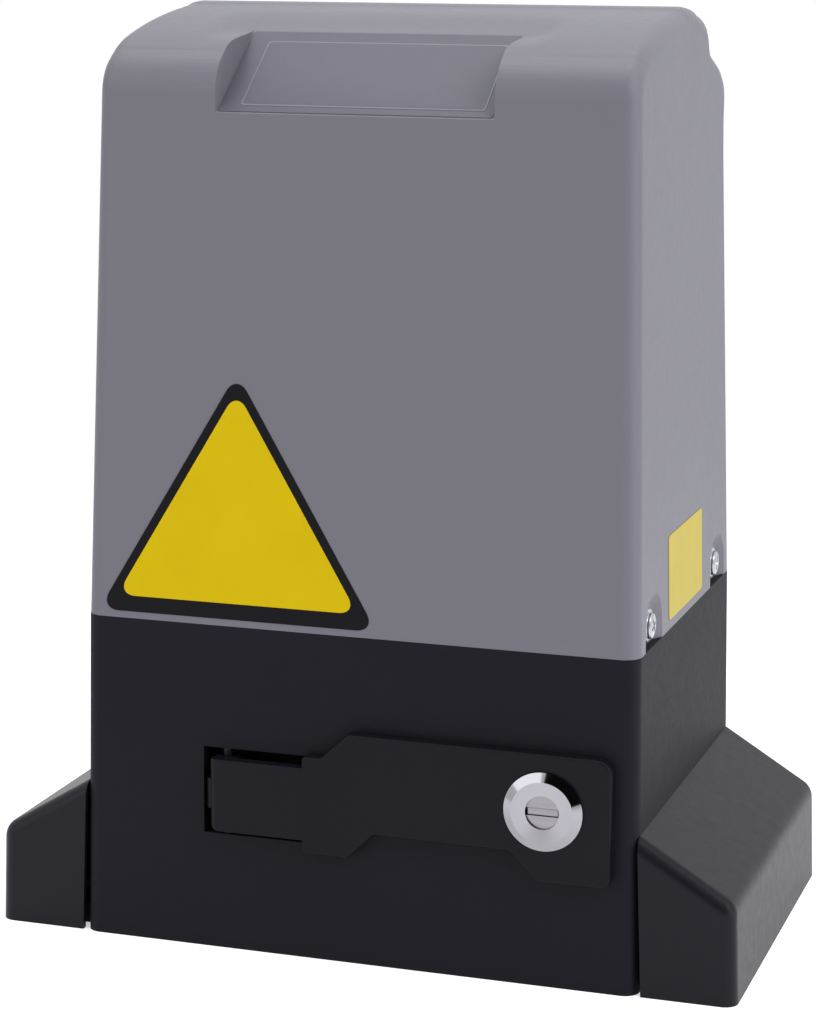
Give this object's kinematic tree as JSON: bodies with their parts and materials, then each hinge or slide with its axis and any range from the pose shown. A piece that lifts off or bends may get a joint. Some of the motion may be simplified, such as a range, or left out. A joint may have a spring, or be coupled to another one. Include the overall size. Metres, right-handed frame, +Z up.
{
  "type": "sliding gate motor",
  "caption": "Sliding gate motor: dark cast base with keyed release lever and foot covers, grey moulded cover, worm-driven output pinion and a swinging spring limit switch.",
  "frame": {"origin": "centre of the base's flat underside", "axes": "+X right along the front face that carries the lever, +Y back towards the gate and along the output shaft, +Z up"},
  "size_m": [0.3016, 0.2303, 0.364],
  "materials": {
    "base_paint": "textured dark grey powder coat on die-cast metal",
    "cover_plastic": "fine-grained mid grey moulding",
    "foot_plastic": "fine-grained dark grey moulding",
    "lever_plastic": "satin dark grey moulding",
    "chrome": "polished chrome plate",
    "zinc_steel": "bright zinc plate",
    "tool_steel": "ground steel",
    "gear_steel": "machined steel, oiled",
    "bronze": "machined bronze",
    "cast_aluminium": "as-cast aluminium",
    "motor_paint": "dark painted motor casing",
    "copper": "laminated steel with copper windings",
    "rubber": "moulded rubber",
    "board": "green solder mask on glass-fibre board",
    "black_plastic": "black moulding",
    "relay_plastic": "blue moulding",
    "terminal_plastic": "green moulding",
    "can": "white moulded can",
    "spring_steel": "oiled spring steel"
  },
  "bodies": {
    "housing": {"base_housing": "base_paint", "left_flange": "base_paint", "right_flange": "base_paint", "top_cover": "cover_plastic", "cover_gasket": "rubber", "cover_screws": "zinc_steel", "left_foot_cover": "foot_plastic", "right_foot_cover": "foot_plastic", "gearcase": "cast_aluminium", "gearcase_cover": "cast_aluminium", "gearcase_screws": "zinc_steel", "front_bearing": "tool_steel", "rear_bearing": "tool_steel", "shaft_seal": "rubber", "worm_bearing": "tool_steel", "motor_housing": "motor_paint", "motor_top_cap": "cast_aluminium", "motor_stator": "copper", "motor_lower_bearing": "tool_steel", "motor_upper_bearing": "tool_steel", "motor_bolts": "zinc_steel", "run_capacitor": "can", "capacitor_clamp": "zinc_steel", "board_bracket": "zinc_steel", "control_board": "board", "board_standoffs": "zinc_steel", "relays": "relay_plastic", "terminal_blocks": "terminal_plastic", "transformer": "copper", "limit_switch_bracket": "zinc_steel", "limit_switch_box": "black_plastic", "cable_grommet": "rubber", "lever_hinge_pin": "tool_steel"},
    "lever": {"release_lever": "lever_plastic", "lock_barrel": "chrome", "lock_nut": "zinc_steel"},
    "lock": {"lock_plug": "chrome", "lock_cam": "zinc_steel"},
    "plunger": {"release_plunger": "tool_steel"},
    "output": {"output_shaft": "tool_steel", "worm_wheel": "bronze", "drive_pinion": "gear_steel", "pinion_key": "tool_steel", "pinion_washer": "zinc_steel", "pinion_bolt": "zinc_steel", "spring_retainer": "tool_steel", "clutch_spring": "spring_steel"},
    "clutch": {"clutch_disc": "tool_steel", "clutch_push_rod": "tool_steel"},
    "rotor": {"motor_shaft": "tool_steel", "motor_rotor": "gear_steel", "worm": "tool_steel"},
    "limit": {"limit_stem": "black_plastic", "limit_spring": "spring_steel"}
  },
  "joints": [
    {"name": "lever_hinge", "type": "hinge", "parent": "housing", "child": "lever", "pos_m": [-0.052, -0.0795, 0.0626], "axis": [0, 0, -1], "range_deg": [0, 90]},
    {"name": "lock_turn", "type": "hinge", "parent": "lever", "child": "lock", "pos_m": [0.0772, -0.0873, 0.0708], "axis": [0, 1, 0], "range_deg": [0, 90]},
    {"name": "plunger_slide", "type": "slide", "parent": "housing", "child": "plunger", "axis": [0, 1, 0], "range_m": [0, 0.0046]},
    {"name": "output_spin", "type": "hinge", "parent": "housing", "child": "output", "pos_m": [-0.052, 0, 0.0626], "axis": [0, 1, 0], "continuous": true},
    {"name": "clutch_slide", "type": "slide", "parent": "output", "child": "clutch", "axis": [0, 1, 0], "range_m": [0, 0.0046], "deforming": ["clutch_spring"]},
    {"name": "rotor_spin", "type": "hinge", "parent": "housing", "child": "rotor", "pos_m": [-0.002, 0, 0.1], "axis": [0, 0, 1], "continuous": true},
    {"name": "limit_swing", "type": "hinge", "parent": "housing", "child": "limit", "pos_m": [-0.052, 0.068, 0.1403], "axis": [0, 0, 1], "range_deg": [-25, 25], "stiffness_Nm_per_rad": 0.15}
  ],
  "couplings": [
    {"joint": "plunger_slide", "follows": "lever_hinge", "m_per_rad": 0.002928},
    {"joint": "clutch_slide", "follows": "lever_hinge", "m_per_rad": 0.002928},
    {"joint": "output_spin", "follows": "rotor_spin", "ratio": 0.033333}
  ]
}
